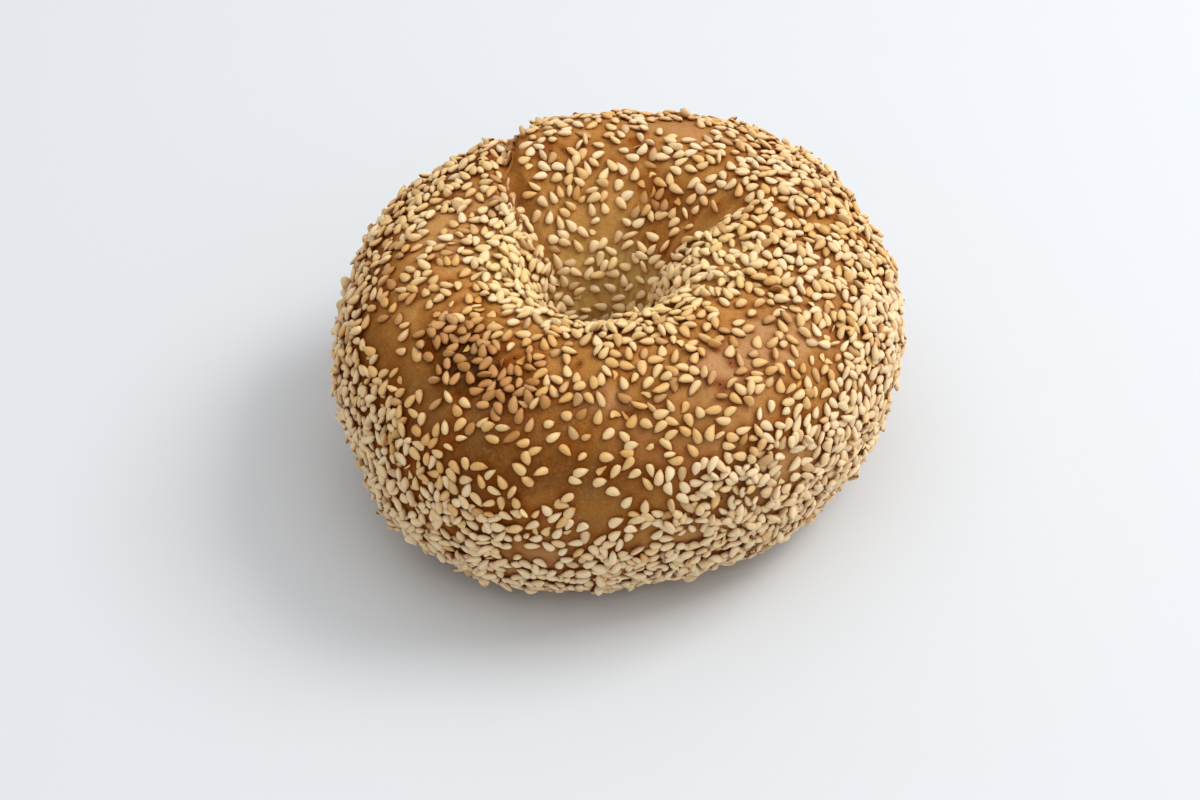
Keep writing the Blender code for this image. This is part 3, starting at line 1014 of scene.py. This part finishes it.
def seed_pieces(seeds, chance):
    """The coat by kind: low and high pale seeds, golden and toasted seeds, husks, and specks, in turn."""
    whole = ~(seeds.is_husk | seeds.is_speck)
    pale = whole & (seeds.toast < GOLDEN_FROM)
    golden = whole & (seeds.toast >= GOLDEN_FROM) & (seeds.toast < TOASTED_FROM)
    toasted = whole & (seeds.toast >= TOASTED_FROM)
    low = seeds.height < HIGH_FROM
    kinds = (
        ("seeds_pale_low", pale & low, SEED_UNEVEN, seed_material(*PALE_SEED)),
        ("seeds_pale_high", pale & ~low, SEED_UNEVEN, seed_material(*CREAM_SEED)),
        ("seeds_golden", golden, SEED_UNEVEN, seed_material(*GOLDEN_SEED)),
        ("seeds_toasted", toasted, TOASTED_UNEVEN, seed_material(*TOASTED_SEED)),
        ("husks", seeds.is_husk, HUSK_UNEVEN, seed_material(*HUSK)),
        ("specks", seeds.is_speck, SPECK_UNEVEN, speck_material()),
    )
    for name, which, uneven, material in kinds:
        piece = seed_piece(name, seeds, np.flatnonzero(which), chance, *uneven)
        piece.data.materials.append(material)
        yield piece


# ======== studio

# The camera sees AIM_POINT, in mm, at AIM_PIXEL of the image, where PIXELS_PER_MM is its scale.
IMAGE_SIZE = (1200, 800)
LENS_MM = 64.5
SENSOR_MM = 36.0
VIEW_ELEVATION = 44.0
PIXELS_PER_MM = 5.23
AIM_POINT = (-0.51, -5.69, 26.0)
AIM_PIXEL = (618, 352)
NEAR_CLIP = 0.01

# Size of the floor in metres, and how far it lies below what stands on it.
FLOOR_SIZE = 4.0
FLOOR_DROP = 0.0001

# Each light's name, azimuth and elevation, then distance and size in metres, power in watts and tint.
WHITE = (1.0, 1.0, 1.0)
WARM_WHITE = (1.0, 0.985, 0.96)
LIGHTS = (
    ("ceiling", 75.0, 82.0, 1.3, 2.6, 12.8, WHITE),
    ("key", 18.0, 48.0, 1.1, 0.5, 6.3, WARM_WHITE),
    ("fill", -35.0, 35.0, 1.3, 1.2, 2.2, WARM_WHITE),
)
LIGHT_AIM = (0.0, 0.0, 0.025)
AIR_COLOUR = (1.0, 0.975, 0.94, 1.0)
AIR_STRENGTH = 0.41


def make_camera():
    """Camera without shift that looks down on AIM_POINT by VIEW_ELEVATION and sees it at AIM_PIXEL.

    Its distance is the focal length in pixels over the scale, and it is turned down by the elevation and
    by the angle at which AIM_PIXEL lies above the middle of the frame.
    """
    focal = LENS_MM / SENSOR_MM * IMAGE_SIZE[0]
    distance = focal / PIXELS_PER_MM
    right_share = (AIM_PIXEL[0] - 0.5 * IMAGE_SIZE[0]) / focal
    up_share = (0.5 * IMAGE_SIZE[1] - AIM_PIXEL[1]) / focal
    tilt = np.radians(VIEW_ELEVATION) + np.arctan(up_share)
    forward = np.array([0.0, np.cos(tilt), -np.sin(tilt)])
    up = np.array([0.0, np.sin(tilt), np.cos(tilt)])
    right = np.array([1.0, 0.0, 0.0])
    place = np.array(AIM_POINT) - distance * (forward + right_share * right + up_share * up)
    data = bpy.data.cameras.new("camera")
    data.lens = LENS_MM
    data.sensor_width = SENSOR_MM
    data.clip_start = NEAR_CLIP
    camera = add_object("camera", data)
    turned = Matrix(np.stack([right, up, -forward], axis=-1).tolist()).to_4x4()
    camera.matrix_world = Matrix.Translation(Vector((place * MM).tolist())) @ turned
    bpy.context.scene.camera = camera


def make_floor():
    """A wide plain pale floor."""
    half = 0.5 * FLOOR_SIZE
    mesh = bpy.data.meshes.new("floor")
    corners = ((-half, -half), (half, -half), (half, half), (-half, half))
    mesh.from_pydata([(x, y, -FLOOR_DROP) for x, y in corners], [], [(0, 1, 2, 3)])
    floor = add_object("floor", mesh)
    shader = Shader("pale floor")
    mesh.materials.append(shader.finish(Base_Color=FLOOR_COLOUR, Roughness=0.85, Specular_IOR_Level=0.2))


def area_light(name, azimuth, elevation, distance, size, power, tint):
    """A square soft light that faces the bagel from an azimuth and an elevation."""
    data = bpy.data.lights.new(name, "AREA")
    data.size = size
    data.energy = power
    data.color = tint
    light = add_object(name, data)
    aim = Vector(LIGHT_AIM)
    away = Vector(direction(azimuth, elevation).tolist())
    light.location = aim + away * distance
    light.rotation_euler = away.to_track_quat("Z", "Y").to_euler()


def make_studio():
    """Camera, floor, lights and the even light that comes from all round."""
    make_camera()
    make_floor()
    for settings in LIGHTS:
        area_light(*settings)
    world = bpy.data.worlds.new("studio air")
    world.use_nodes = True
    air = world.node_tree.nodes["Background"]
    air.inputs["Color"].default_value = AIR_COLOUR
    air.inputs["Strength"].default_value = AIR_STRENGTH
    scene = bpy.context.scene
    scene.world = world
    scene.view_settings.view_transform = "Standard"
    scene.view_settings.look = "None"


def main():
    """Make the bagel and the studio."""
    chance = np.random.default_rng(SEED_OF_CHANCE)
    skin = Skin(chance)
    seeds = Seeds(skin, chance)
    seeds.toast = toast_of(seeds, chance)
    crust = crust_piece(skin, seeds.crowding)
    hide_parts("bagel")
    for piece in [crust, *seed_pieces(seeds, chance)]:
        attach(piece, "root")
    make_studio()


main()
